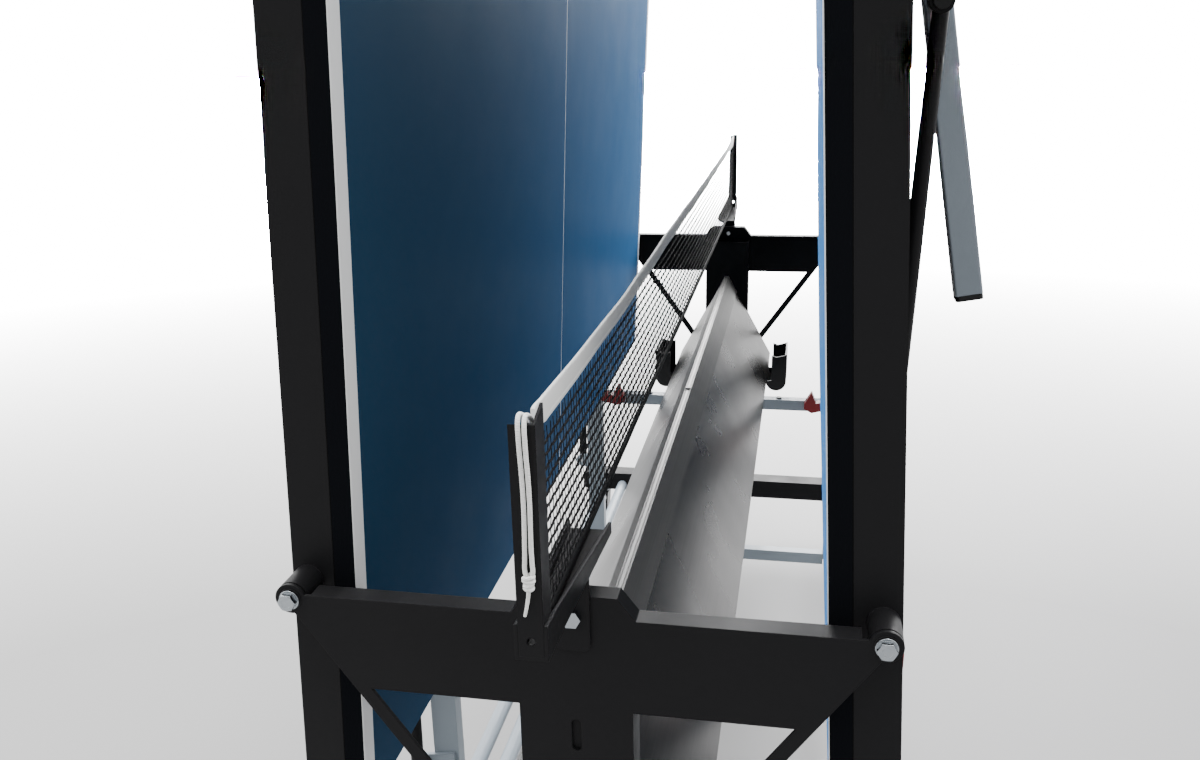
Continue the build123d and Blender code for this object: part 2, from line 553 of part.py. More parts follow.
# ---- leg frames, levelling caps and stay links ----
LEG_OVER = 14.0
LEG_END = PLAY_HEIGHT - LEG_DEPTH - LEVEL_CAP - AXIAL
LEG_BAR_DOWN = 300.0
LEG_PLUG = 12.0
CAP_STEM_R = 5.0
BOSS_R = 10.0
STAY_BEND = 300.0
for name, side in SIDES.items():
    with BuildPart() as leg_frame:
        for way in ENDS.values():
            with BuildSketch(leg_plane(side, -LEG_OVER, way * LEG_Y)):
                RectangleRounded(LEG_TUBE, LEG_TUBE, 2.0)
            extrude(amount=LEG_OVER + LEG_END)
            with BuildSketch(leg_plane(side, LEG_OVER, way * LEG_Y)):
                Rectangle(LEG_TUBE - 3, LEG_TUBE - 3)
            extrude(amount=LEG_END - LEG_PLUG - LEG_OVER, mode=Mode.SUBTRACT)
            with BuildSketch(leg_plane(side, LEG_END - LEG_PLUG, way * LEG_Y)):
                Circle(CAP_STEM_R + 0.2)
            extrude(amount=LEG_PLUG, mode=Mode.SUBTRACT)
            with BuildSketch(across(way * LEG_Y)):
                with Locations((side * LEG_TOP[0], LEG_TOP[2])):
                    Circle(LEG_PIN_R + RUN_FIT)
            extrude(amount=LEG_TUBE, both=True, mode=Mode.SUBTRACT)
            boss = STAY_IN - AXIAL - LEG_Y - LEG_TUBE / 2
            with BuildSketch(across(way * (LEG_Y + LEG_TUBE / 2 + boss / 2))):
                with Locations((side * STAY_UP[0], STAY_UP[1])):
                    Circle(BOSS_R)
            extrude(amount=boss / 2, both=True)
        bar = leg_plane(side, LEG_BAR_DOWN)
        with BuildSketch(Plane(origin=bar.origin, x_dir=bar.z_dir, z_dir=(0, 1, 0))):
            Rectangle(LEG_TUBE, LEG_TUBE)
            Rectangle(LEG_TUBE - 3, LEG_TUBE - 3, mode=Mode.SUBTRACT)
        extrude(amount=LEG_Y - LEG_TUBE / 2, both=True)
    save(leg_frame, f"leg_frame_{name}")
    for end, way in ENDS.items():
        with BuildPart() as level_foot:
            with BuildSketch(leg_plane(side, LEG_END + AXIAL, way * LEG_Y)):
                RectangleRounded(LEG_TUBE, LEG_TUBE, 4.0)
            extrude(amount=LEVEL_CAP)
            with BuildSketch(leg_plane(side, LEG_END - 45.0, way * LEG_Y)):
                Circle(CAP_STEM_R)
            extrude(amount=45.0 + AXIAL)
        save(level_foot, f"level_foot_{name}_{end}")
    reach = radians(STAY_STORED)
    with BuildPart() as stay_links:
        for way in ENDS.values():
            y = way * STAY_Y
            rod = []
            for up, bow in ((6.0, 0.0), *STAY_BOWS, (STAY_LENGTH - 6.0, 0.0)):
                x = STAY_X + up * sin(reach) - bow * cos(reach)
                rod.append(Vector(side * x, y, STAY_Z + up * cos(reach) + bow * sin(reach)))
            with BuildLine() as rod_line:
                FilletPolyline(*rod, radius=STAY_BEND)
            with BuildSketch(Plane(origin=rod[0], z_dir=rod[1] - rod[0])):
                Circle(STAY_R)
            sweep(path=rod_line.line)
            with BuildSketch(across(y)):
                with Locations((side * STAY_X, STAY_Z), (side * STAY_UP[0], STAY_UP[1])):
                    Circle(11.0)
            extrude(amount=STAY_THICK / 2, both=True)
            with BuildSketch(across(y)):
                with Locations((side * STAY_X, STAY_Z), (side * STAY_UP[0], STAY_UP[1])):
                    Circle(STAY_PIN_R + RUN_FIT)
            extrude(amount=STAY_THICK, both=True, mode=Mode.SUBTRACT)
    save(stay_links, f"stay_links_{name}")
    with BuildPart() as stay_bolts:
        for way in ENDS.values():
            with BuildSketch(across(way * STAY_Y)):
                with Locations((side * STAY_UP[0], STAY_UP[1])):
                    Circle(STAY_PIN_R)
            extrude(amount=STAY_THICK / 2, both=True)
            with BuildSketch(across(way * (STAY_Y + STAY_THICK / 2 + 2.0))):
                with Locations((side * STAY_UP[0], STAY_UP[1])):
                    Circle(STAY_PIN_R + 3.5)
            extrude(amount=2.0, both=True)
    save(stay_bolts, f"stay_bolts_{name}")

# ---- lock levers, drawn in their locking place and turned to the released one ----
LEVER_IN = PORTAL_Y - PORTAL_TUBE / 2 - AXIAL
# its outline, from its pivot
lever_lock = [(-67, 50), (-64, 28.5), (-4, 28.5), (4, 31), (19, 44), (30, 38), (25, 20), (10, 8),
              (7, -6), (-7, -6), (-14, 12), (-76, 12), (-88, 23), (-85, 32)]
turn = radians(LEVER_OPEN)
lever_free = []
for dx, dz in lever_lock:
    lever_free.append((LEVER_X + dx * cos(turn) - dz * sin(turn),
                       LEVER_Z + dx * sin(turn) + dz * cos(turn)))
for end, way in ENDS.items():
    for name, side in SIDES.items():
        with BuildPart() as lock_lever:
            with BuildSketch(across(way * (LEVER_IN - LEVER_THICK / 2))):
                Polygon(*mirrored(lever_free, side), align=None)
                with Locations((side * LEVER_X, LEVER_Z)):
                    Circle(9.0)
                    Circle(LEVER_PIN_R + RUN_FIT, mode=Mode.SUBTRACT)
            extrude(amount=LEVER_THICK / 2, both=True)
        save(lock_lever, f"lock_lever_{end}_{name}")

with BuildPart() as pivot_pins:
    for way in ENDS.values():
        for side in SIDES.values():
            lever_out = PORTAL_Y + PORTAL_TUBE / 2
            lever_in = LEVER_IN - LEVER_THICK - AXIAL
            with BuildSketch(across(way * (lever_in + lever_out) / 2)):
                with Locations((side * LEVER_X, LEVER_Z)):
                    Circle(LEVER_PIN_R)
            extrude(amount=(lever_out - lever_in) / 2, both=True)
            for face in (lever_in - 1.25, lever_out + 1.25):
                with BuildSketch(across(way * face)):
                    with Locations((side * LEVER_X, LEVER_Z)):
                        Circle(LEVER_PIN_R + 3.0)
                extrude(amount=1.25, both=True)
            stay_out = STAY_IN + STAY_THICK + AXIAL
            stay_root = STAY_IN - AXIAL - EAR
            with BuildSketch(across(way * (stay_root + stay_out) / 2)):
                with Locations((side * STAY_X, STAY_Z)):
                    Circle(STAY_PIN_R)
            extrude(amount=(stay_out - stay_root) / 2, both=True)
            with BuildSketch(across(way * (stay_out + 2.0))):
                with Locations((side * STAY_X, STAY_Z)):
                    Circle(STAY_PIN_R + 3.5)
            extrude(amount=2.0, both=True)
save(pivot_pins, "pivot_pins")

SCREW_X = 124.0
SCREW_Y = (0.0,)
with BuildPart() as frame_screws:
    for way in ENDS.values():
        for side in SIDES.values():
            with BuildSketch(Plane.XY.offset(HINGE_Z + ARM_TOP)):
                with Locations((side * SCREW_X, way * PORTAL_Y)):
                    Circle(5.0)
            extrude(amount=2.5)
            with BuildSketch(across(way * (PLATE_OUT + 2.5))):
                with Locations((side * POST_BOLTS[0], HINGE_Z + POST_BOLTS[1])):
                    RegularPolygon(6.5, 6, major_radius=False)
            extrude(amount=2.5, both=True)
            with BuildSketch(across(way * (PLATE_OUT - 3.0))):
                with Locations((side * POST_BOLTS[0], HINGE_Z + POST_BOLTS[1])):
                    Circle(NET_BOLT_R)
            extrude(amount=3.0, both=True)
save(frame_screws, "frame_screws")

with BuildPart() as beam_screws:
    for y in SCREW_Y:
        with BuildSketch(Plane.XY.offset(HINGE_Z + BEAM_RIDGE[1] + STRIP)):
            with Locations((0, y)):
                Circle(4.0)
        extrude(amount=2.0)
save(beam_screws, "beam_screws")

# ---- net set: arms, posts, net, tape and tension cord ----
ARM_LOW = HINGE_Z + HINGE_DEPTH + ARM_GAP
ARM_IN = HALF_WIDTH - 34.5
ARM_WIDE = 36.0
ARM_SHEET = 2.5
ARM_TIP = 51.0            # side walls' height at the inner end, from the hinge line
SOCKET_TOP = 67.0         # and at the post
TAB_HALF = 13.5
TAB_LOW = -23.0
SOCKET = POST_TUBE / 2 + 0.1
POST_HOLE = 55.0
POST_HOLE_R = 3.0
post_out = NET_POST_Y + NET_POST_DEEP / 2
post_in = NET_POST_Y - NET_POST_DEEP / 2
for end, way in ENDS.items():
    with BuildPart() as net_arm:
        with BuildSketch(Plane.XY.offset(ARM_LOW)):
            tray = [(ARM_WIDE / 2, ARM_IN), (SOCKET + ARM_SHEET, post_in - 4),
                    (SOCKET + ARM_SHEET, post_out)]
            loop = tray + [(-x, y) for x, y in reversed(tray)]
            Polygon(*[(x, way * y) for x, y in loop], align=None)
        extrude(amount=HINGE_Z + SOCKET_TOP - ARM_LOW)
        with BuildSketch(Plane.XY.offset(ARM_LOW + ARM_FLOOR)):
            inner = [(ARM_WIDE / 2 - ARM_SHEET, ARM_IN - 1), (SOCKET, post_in - 4),
                     (SOCKET, post_out + 1)]
            loop = inner + [(-x, y) for x, y in reversed(inner)]
            Polygon(*[(x, way * y) for x, y in loop], align=None)
        extrude(amount=SOCKET_TOP, mode=Mode.SUBTRACT)
        with BuildSketch(lengthwise(0)):
            Polygon((way * post_out, HINGE_Z + SOCKET_TOP), (way * ARM_IN, HINGE_Z + ARM_TIP),
                    (way * (ARM_IN - 1), HINGE_Z + ARM_TIP),
                    (way * (ARM_IN - 1), HINGE_Z + SOCKET_TOP + 1),
                    (way * post_out, HINGE_Z + SOCKET_TOP + 1), align=None)
        extrude(amount=ARM_WIDE, both=True, mode=Mode.SUBTRACT)
        with BuildSketch(across(way * (PLATE_OUT + PLATE / 2))):
            with Locations((0, (HINGE_Z + TAB_LOW + ARM_LOW) / 2)):
                RectangleRounded(2 * TAB_HALF, ARM_LOW - HINGE_Z - TAB_LOW, 6.0)
            with Locations((0, ARM_LOW - 6)):
                Rectangle(2 * TAB_HALF, 12.0)
            with Locations((0, HINGE_Z + NET_BOLT_Z)):
                Circle(NET_BOLT_R + HOLE_PLAY, mode=Mode.SUBTRACT)
        extrude(amount=PLATE / 2, both=True)
    save(net_arm, f"net_arm_{end}")
    with BuildPart() as net_post:
        with BuildSketch(Plane.XY.offset(ARM_LOW + ARM_FLOOR)):
            with Locations((0, way * NET_POST_Y)):
                Rectangle(POST_TUBE, NET_POST_DEEP)
            with Locations((0, way * (NET_POST_Y - NET_WALL))):
                Rectangle(POST_TUBE - 2 * NET_WALL, NET_POST_DEEP, mode=Mode.SUBTRACT)
        extrude(amount=HINGE_Z + NET_POST_HORN - ARM_LOW - ARM_FLOOR)
        for side, inner_top in ((-1, NET_POST_DIP), (1, NET_POST_HORN)):
            with BuildSketch(lengthwise(side * POST_TUBE / 4)):
                Polygon((way * post_out, HINGE_Z + NET_POST_TOP),
                        (way * post_in, HINGE_Z + inner_top),
                        (way * post_in, HINGE_Z + NET_POST_HORN + 1),
                        (way * post_out, HINGE_Z + NET_POST_HORN + 1), align=None)
            extrude(amount=POST_TUBE / 4, both=True, mode=Mode.SUBTRACT)
        with BuildSketch(across(way * post_out)):
            with Locations((0, HINGE_Z + POST_HOLE)):
                Circle(POST_HOLE_R)
        extrude(amount=2 * NET_WALL, both=True, mode=Mode.SUBTRACT)
    save(net_post, f"net_post_{end}")

net_top = HINGE_Z + HINGE_DEPTH + NET_HEIGHT
net_low = ARM_LOW + ARM_FLOOR + 1.0
with BuildPart() as net:
    with BuildSketch(lengthwise(0)):
        with Locations((0, (net_low + net_top - TAPE) / 2)):
            Rectangle(2 * NET_REACH, net_top - TAPE - net_low)
    extrude(amount=NET_THICK / 2, both=True)
save(net, "net")
with BuildPart() as net_tape:
    with BuildSketch(lengthwise(0)):
        with Locations((0, net_top - TAPE / 2)):
            Rectangle(2 * NET_REACH - 6, TAPE)
    extrude(amount=TAPE_THICK / 2, both=True)
save(net_tape, "net_tape")

with BuildPart() as net_bolts:
    for way in ENDS.values():
        with BuildSketch(across(way * PLATE_OUT)):
            with Locations((0, HINGE_Z + NET_BOLT_Z)):
                Circle(NET_BOLT_R)
        extrude(amount=PLATE + 3.0, both=True)
        with BuildSketch(across(way * (PLATE_OUT + PLATE + 2.75))):
            with Locations((0, HINGE_Z + NET_BOLT_Z)):
                RegularPolygon(6.5, 6, major_radius=False)
        extrude(amount=2.75, both=True)
save(net_bolts, "net_bolts")

# ---- ball holders: troughs under the beam's foot, closed by slotted ends ----
TROUGH = (41.0, 3.0, ARM_TOP - 37.0, ARM_TOP + 40.0)   # outer width, wall, lowest, outer lip
TROUGH_SLOT = 8.0
TROUGH_Y = (620.0, 715.0)
TROUGH_END = 3.0
with BuildPart() as ball_holders:
    for side in SIDES.values():
        with BuildSketch(across(sum(TROUGH_Y) / 2)):
            mid = BEAM_FOOT + TROUGH[0] / 2 - TROUGH[1]
            r_out = TROUGH[0] / 2
            round_z = HINGE_Z + TROUGH[2] + r_out
            with Locations((side * mid, round_z)):
                Circle(r_out)
            Polygon(*mirrored([(mid - r_out, round_z), (mid - r_out, HINGE_Z + ARM_TOP),
                               (mid + r_out, HINGE_Z + ARM_TOP), (mid + r_out, round_z)], side),
                    align=None)
            Polygon(*mirrored([(mid + r_out - TROUGH[1], HINGE_Z + ARM_TOP),
                               (mid + r_out - TROUGH[1], HINGE_Z + TROUGH[3]),
                               (mid + r_out, HINGE_Z + TROUGH[3]),
                               (mid + r_out, HINGE_Z + ARM_TOP)], side), align=None)
            r_in = r_out - TROUGH[1]
            with Locations((side * mid, round_z)):
                Circle(r_in, mode=Mode.SUBTRACT)
            over_lip = HINGE_Z + TROUGH[3] + 1
            Polygon(*mirrored([(mid - r_in, round_z), (mid - r_in, over_lip),
                               (mid + r_in, over_lip), (mid + r_in, round_z)], side),
                    align=None, mode=Mode.SUBTRACT)
        extrude(amount=(TROUGH_Y[1] - TROUGH_Y[0]) / 2, both=True)
        slot_in = mid - r_out + TROUGH[1]
        slot_out = slot_in + TROUGH_SLOT
        lip = HINGE_Z + TROUGH[3]
        for face in (TROUGH_Y[0] + TROUGH_END / 2, TROUGH_Y[1] - TROUGH_END / 2):
            with BuildSketch(across(face)):
                with Locations((side * mid, round_z)):
                    Circle(r_out)
                Polygon(*mirrored([(slot_out, round_z), (slot_out, lip - 2), (mid, lip - 6),
                                   (mid + r_out, lip), (mid + r_out, round_z)], side), align=None)
                Polygon(*mirrored([(slot_in, round_z), (slot_in, lip), (slot_out, lip),
                                   (slot_out, round_z)], side), align=None, mode=Mode.SUBTRACT)
            extrude(amount=TROUGH_END / 2, both=True)
save(ball_holders, "ball_holders")

# ---- tension cord: out of the tape, over the near post, down to its knot and back ----
cord_route = [(-1.8, -889.0, 187.0), (-2.2, -894.0, 197.0), (-2.4, -903.0, 204.5),
              (-1.8, -915.5, 208.5), (-0.8, -920.0, 196.0), (0.4, -918.0, 158.0),
              (-0.4, -918.2, 120.0), (-1.4, -918.4, 103.0), (4.6, -918.4, 102.0),
              (3.4, -918.2, 119.0), (4.2, -918.0, 158.0), (3.0, -920.0, 195.0),
              (2.2, -915.5, 208.0), (1.6, -903.0, 204.0), (1.8, -894.0, 196.5),
              (2.2, -889.0, 186.5)]
cord_points = [Vector(x, y, HINGE_Z + z) for x, y, z in cord_route]
cord_runs = [b - a for a, b in zip(cord_points, cord_points[1:])]
cord_radii = []
for a, b in zip(cord_runs, cord_runs[1:]):
    cord_radii.append(0.45 * min(a.length, b.length) / tan(radians(a.get_angle(b) / 2)))
with BuildPart() as tension_cord:
    with BuildLine() as cord_line:
        FilletPolyline(*cord_points, radius=cord_radii)
    with BuildSketch(Plane(origin=cord_points[0], z_dir=cord_runs[0])):
        Circle(CORD_R)
    sweep()
save(tension_cord, "tension_cord")
cord_length = sum(edge.length for edge in cord_line.edges())
print("cord radii", [round(r, 1) for r in cord_radii])
print("cord length", round(cord_length, 1), "volume", round(tension_cord.part.volume, 1),
      "section x length", round(pi * CORD_R ** 2 * cord_length, 1))
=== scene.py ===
import json
from math import cos, pi, radians, sin, tan

import bmesh
import bpy
import numpy as np
from mathutils import Matrix, Vector


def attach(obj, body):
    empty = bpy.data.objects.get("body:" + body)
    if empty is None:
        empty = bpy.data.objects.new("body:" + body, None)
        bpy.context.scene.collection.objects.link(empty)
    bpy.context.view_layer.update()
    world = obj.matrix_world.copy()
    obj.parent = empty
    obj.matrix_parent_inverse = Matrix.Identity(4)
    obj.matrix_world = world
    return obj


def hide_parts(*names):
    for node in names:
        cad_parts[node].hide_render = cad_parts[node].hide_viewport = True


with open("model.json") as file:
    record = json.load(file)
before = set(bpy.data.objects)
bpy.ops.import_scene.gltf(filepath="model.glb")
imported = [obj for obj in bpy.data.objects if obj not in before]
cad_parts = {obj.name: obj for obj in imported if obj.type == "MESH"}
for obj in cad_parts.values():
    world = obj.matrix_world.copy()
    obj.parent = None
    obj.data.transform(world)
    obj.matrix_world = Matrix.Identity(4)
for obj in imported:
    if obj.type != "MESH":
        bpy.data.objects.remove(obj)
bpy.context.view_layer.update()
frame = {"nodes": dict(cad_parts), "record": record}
nodes_of = frame["nodes"]

# ---- sizes shared with the solid model, in metres ----
SIDES = {"left": -1, "right": 1}
ENDS = {"near": -1, "far": 1}
LEAN = radians(2.9)
HINGE_X = 0.229
HINGE_Z = 0.719
HINGE_DEPTH = 0.041
HALF_WIDTH = 0.7625
EDGE_IN = 0.226
EDGE_OUT = 1.144
BOARD = 0.019
BOARD_ROUND = 0.0008
NET_HIGH = 0.1525
NET_TOP = HINGE_Z + HINGE_DEPTH + NET_HIGH


def hinge_height(z):
    """A height given from the hinge line, in millimetres, as a height over the floor in metres."""
    return HINGE_Z + z / 1000


def half_to_world(side, along, across, depth):
    """Point of a stored half, from its way along the half past the hinge, its place across, and its
    depth under the playing face. The half leans by LEAN, so x is the hinge's, less the way along
    times the lean's sine, plus the depth beyond the hinge's times its cosine, and z is the hinge's
    plus the same two with cosine and sine changed over."""
    out = depth - HINGE_DEPTH
    return np.stack([side * (HINGE_X - along * sin(LEAN) + out * cos(LEAN)),
                     across + 0 * along,
                     HINGE_Z + along * cos(LEAN) + out * sin(LEAN)], axis=-1)


# ---- mesh making ----
def ring_quads(rings, count):
    """Quads between rings of points: corners c and c + 1 of ring r, then the same two of ring
    r + 1, with each ring's last corner joined to its first."""
    r, c = np.meshgrid(np.arange(rings - 1), np.arange(count), indexing="ij")
    after = (c + 1) % count
    quads = [r * count + c, r * count + after, (r + 1) * count + after, (r + 1) * count + c]
    return np.stack(quads, -1).reshape(-1, 4).tolist()


def cap(ring, count):
    """One face over all the corners of a ring."""
    return list(range(ring * count, (ring + 1) * count))


def make_piece(name, points, faces, material, body, angle=35.0):
    """One mesh object in the row frame, with its faces turned outwards, that rides on a body."""
    mesh = bpy.data.meshes.new(name)
    mesh.from_pydata(np.asarray(points, float).reshape(-1, 3).tolist(), [], faces)
    work = bmesh.new()
    work.from_mesh(mesh)
    bmesh.ops.remove_doubles(work, verts=work.verts, dist=1e-6)
    bmesh.ops.recalc_face_normals(work, faces=work.faces)
    work.to_mesh(mesh)
    work.free()
    mesh.polygons.foreach_set("use_smooth", [True] * len(mesh.polygons))
    mesh.set_sharp_from_angle(angle=radians(angle))
    mesh.materials.append(material)
    thing = bpy.data.objects.new(name, mesh)
    bpy.context.scene.collection.objects.link(thing)
    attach(thing, body)
    return thing


def soften(thing, width, segments, limit=30.0):
    """Small rounds along the sharp edges of a piece."""
    bevel = thing.modifiers.new("rounds", "BEVEL")
    bevel.width = width
    bevel.segments = segments
    bevel.limit_method = "ANGLE"
    bevel.angle_limit = radians(limit)
    bevel.harden_normals = False


def merge(*shapes):
    """Several (points, faces) shapes as one."""
    points = []
    faces = []
    start = 0
    for p, f in shapes:
        p = np.asarray(p).reshape(-1, 3)
        points.append(p)
        faces += [[i + start for i in face] for face in f]
        start += len(p)
    return np.concatenate(points), faces


def frames_along(path):
    """Tangent and two normals at each point of a path. Each normal is the one before it, less its
    part along the tangent, so it is carried along without twist."""
    path = np.asarray(path, float)
    tangent = np.gradient(path, axis=0)
    tangent /= np.linalg.norm(tangent, axis=1)[:, None]
    first = np.array([0.0, 0.0, 1.0]) if abs(tangent[0][2]) < 0.9 else np.array([1.0, 0.0, 0.0])
    normals = []
    last = first
    for t in tangent:
        last = last - t * (last @ t)
        last = last / np.linalg.norm(last)
        normals.append(last)
    normals = np.array(normals)
    return tangent, normals, np.cross(tangent, normals)


def tube(path, radius, sides=12, capped=True):
    """Round tube: at each path point p, p + r (cos a n + sin a b) for angle a all round."""
    path = np.asarray(path, float)
    tangent, n, b = frames_along(path)
    a = np.linspace(0, 2 * pi, sides, endpoint=False)
    r = np.broadcast_to(np.asarray(radius, float), (len(path),))
    ring = (np.cos(a)[None, :, None] * n[:, None, :] + np.sin(a)[None, :, None] * b[:, None, :])
    points = path[:, None, :] + r[:, None, None] * ring
    faces = ring_quads(len(path), sides)
    if capped:
        faces += [cap(0, sides)[::-1], cap(len(path) - 1, sides)]
    return points.reshape(-1, 3), faces


def lathe(profile, centre, axis, sides):
    """Turned shape: each (radius, height) of the profile carried round an axis through a centre."""
    profile = np.asarray(profile, float)
    axis = np.asarray(axis, float) / np.linalg.norm(axis)
    side = np.array([1.0, 0, 0]) if abs(axis[0]) < 0.9 else np.array([0, 1.0, 0])
    u = np.cross(axis, side)
    u /= np.linalg.norm(u)
    v = np.cross(axis, u)
    a = np.linspace(0, 2 * pi, sides, endpoint=False)
    ring = np.cos(a)[:, None] * u + np.sin(a)[:, None] * v
    points = (np.asarray(centre, float) + profile[:, None, 1:2] * axis
              + profile[:, None, 0:1] * ring[None, :, :])
    faces = ring_quads(len(profile), sides)
    if profile[0][0] > 1e-6:
        faces.append(cap(0, sides))
    if profile[-1][0] > 1e-6:
        faces.append(cap(len(profile) - 1, sides)[::-1])
    return points.reshape(-1, 3), faces


def prism(outline, place, low, high):
    """Flat outline given thickness: its points (u, v) once at w = low and once at w = high, each
    put in the frame by place(u, v, w)."""
    outline = np.asarray(outline, float)
    n = len(outline)
    w = np.repeat([low, high], n)
    u = np.tile(outline[:, 0], 2)
    v = np.tile(outline[:, 1], 2)
    points = place(u, v, w)
    return points, ring_quads(2, n) + [cap(0, n)[::-1], cap(1, n)]


# ---- materials ----
class Finish:
    """A node material with a Principled surface and short ways to add nodes."""

    def __init__(self, name):
        self.material = bpy.data.materials.new(name)
        self.material.use_nodes = True
        self.nodes = self.material.node_tree.nodes
        self.links = self.material.node_tree.links
        self.surface = self.nodes["Principled BSDF"]
        self.place = self.add("ShaderNodeTexCoord").outputs["Object"]

    def add(self, kind, **values):
        node = self.nodes.new(kind)
        for key, value in values.items():
            setattr(node, key, value)
        return node

    def put(self, socket, value):
        if isinstance(value, bpy.types.NodeSocket):
            self.links.new(value, socket)
        else:
            socket.default_value = value

    def set(self, **values):
        for key, value in values.items():
            self.put(self.surface.inputs[key.replace("_", " ")], value)

    def math(self, operation, a, b=0.0):
        node = self.add("ShaderNodeMath", operation=operation)
        for socket, value in zip(node.inputs, (a, b)):
            self.put(socket, value)
        return node.outputs[0]

    def along(self, direction, offset=0.0):
        """Distance of a point along a direction, less an offset."""
        node = self.add("ShaderNodeVectorMath", operation="DOT_PRODUCT")
        self.put(node.inputs[0], self.place)
        node.inputs[1].default_value = direction
        return self.math("SUBTRACT", node.outputs["Value"], offset)

    def stretched(self, scale):
        """Coordinates drawn out or squeezed along the three axes."""
        node = self.add("ShaderNodeMapping")
        self.put(node.inputs["Vector"], self.place)
        node.inputs["Scale"].default_value = scale
        return node.outputs["Vector"]

    def noise(self, scale, detail, vector=None):
        node = self.add("ShaderNodeTexNoise")
        self.put(node.inputs["Vector"], vector or self.place)
        node.inputs["Scale"].default_value = scale
        node.inputs["Detail"].default_value = detail
        return node.outputs["Fac"]

    def spread(self, value, low, high, start=0.0, end=1.0):
        """A value from start to end, moved to run from low to high."""
        node = self.add("ShaderNodeMapRange")
        self.put(node.inputs["Value"], value)
        node.inputs["From Min"].default_value = start
        node.inputs["From Max"].default_value = end
        node.inputs["To Min"].default_value = low
        node.inputs["To Max"].default_value = high
        return node.outputs["Result"]

    def blend(self, factor, a, b):
        node = self.add("ShaderNodeMix", data_type="RGBA")
        self.put(node.inputs["Factor"], factor)
        for socket, value in ((node.inputs[6], a), (node.inputs[7], b)):
            if isinstance(value, tuple) and len(value) == 3:
                value = (*value, 1.0)
            self.put(socket, value)
        return node.outputs[2]

    def relief(self, height, distance, strength=1.0, round_edges=0.0):
        """Bump from a height, over edges that look rounded."""
        bump = self.add("ShaderNodeBump")
        self.put(bump.inputs["Height"], height)
        bump.inputs["Distance"].default_value = distance
        bump.inputs["Strength"].default_value = strength
        if round_edges:
            bevel = self.add("ShaderNodeBevel", samples=4)
            bevel.inputs["Radius"].default_value = round_edges
            self.put(bump.inputs["Normal"], bevel.outputs["Normal"])
        self.put(self.surface.inputs["Normal"], bump.outputs["Normal"])


def tone(color, gain):
    """A colour made lighter or darker."""
    return tuple(min(1.0, c * gain) for c in color)


def powder_coat(name, color, rough, gloss, index, grain=1400.0, bite=0.00003, edge=0.0012):
    """Powder coat: fine orange peel, faint changes of gloss and a little dust."""
    f = Finish(name)
    cloud = f.noise(6.0, 4.0)
    f.set(Base_Color=f.blend(cloud, tone(color, 0.88), tone(color, 1.14)),
          Roughness=f.spread(f.noise(23.0, 5.0), rough - 0.06, rough + 0.07, 0.3, 0.7))
    f.set(Specular_IOR_Level=gloss, IOR=index)
    f.relief(f.noise(grain, 2.0), bite, 0.6, edge)
    return f.material


def board_finish(name, side):
    """Coated board: blue playing face with white and centre lines, black edges, dark underside."""
    f = Finish(name)
    along = f.along((-side * sin(LEAN), 0, cos(LEAN)), cos(LEAN) * HINGE_Z - sin(LEAN) * HINGE_X)
    deep = f.along((side * cos(LEAN), 0, sin(LEAN)),
                   cos(LEAN) * HINGE_X + sin(LEAN) * HINGE_Z - HINGE_DEPTH)
    across = f.math("ABSOLUTE", f.along((0, 1, 0)))
    side_line = f.math("GREATER_THAN", across, HALF_WIDTH - LINE)
    end_line = f.math("GREATER_THAN", along, EDGE_OUT - LINE)
    middle = f.math("LESS_THAN", across, CENTRE_LINE / 2)
    lines = f.math("MAXIMUM", f.math("MAXIMUM", side_line, end_line), middle)
    cloud = f.noise(2.2, 3.0)
    blue = f.blend(cloud, tone(BLUE, 0.94), tone(BLUE, 1.06))
    white = f.blend(cloud, tone(WHITE_LINE, 0.95), WHITE_LINE)
    face = f.blend(lines, blue, white)
    rim = f.math("GREATER_THAN", deep, BOARD_ROUND)
    back = f.math("GREATER_THAN", deep, BOARD - BOARD_ROUND)
    body = f.blend(rim, face, BOARD_EDGE)
    f.set(Base_Color=f.blend(back, body, BOARD_BACK))
    speck = f.noise(260.0, 3.0)
    gloss = f.spread(f.noise(9.0, 4.0), 0.42, 0.50, 0.3, 0.7)
    f.set(Roughness=f.math("ADD", gloss, f.math("MULTIPLY", rim, 0.2)))
    fibre = f.noise(1.0, 4.0, f.stretched((700.0, 700.0, 120.0)))
    height = f.math("ADD", f.math("MULTIPLY", speck, 0.12), f.math("MULTIPLY", rim, fibre))
    f.relief(height, 0.00035, 0.7)
    sheen = f.math("MULTIPLY", f.math("SUBTRACT", 1.0, rim), 0.6)
    f.set(Specular_IOR_Level=0.5, IOR=1.045, Sheen_Weight=sheen, Sheen_Roughness=0.22)
    f.set(Sheen_Tint=(0.05, 0.20, 0.50, 1.0))
    return f.material


def brushed_sheet(name, gain=1.0):
    """Anodised sheet: metal with fine drawn lines along it and cloudy, faint marks. It is paler and
    rougher on its crest, within CREST of the middle."""
    f = Finish(name)
    lines = f.noise(1.0, 2.0, f.stretched((500.0, 3.0, 500.0)))
    marks = f.noise(1.0, 4.0, f.stretched((26.0, 9.0, 26.0)))
    cloud = f.noise(7.0, 4.0)
    base = f.blend(lines, tone((0.076, 0.074, 0.073), gain), tone((0.110, 0.108, 0.106), gain))
    worn = tone((0.15, 0.15, 0.147), gain)
    crest = f.math("LESS_THAN", f.math("ABSOLUTE", f.along((1, 0, 0))), CREST)
    sheet = f.blend(f.spread(marks, 0.0, 0.35, 0.45, 0.75), base, worn)
    pale = f.blend(lines, (0.15, 0.148, 0.146), (0.21, 0.21, 0.206))
    gloss = f.spread(cloud, 0.25, 0.32, 0.3, 0.7)
    f.set(Base_Color=f.blend(crest, sheet, pale), Metallic=1.0,
          Roughness=f.math("ADD", gloss, f.math("MULTIPLY", crest, 0.2)))
    f.relief(lines, 0.000003, 0.2, 0.0012)
    return f.material


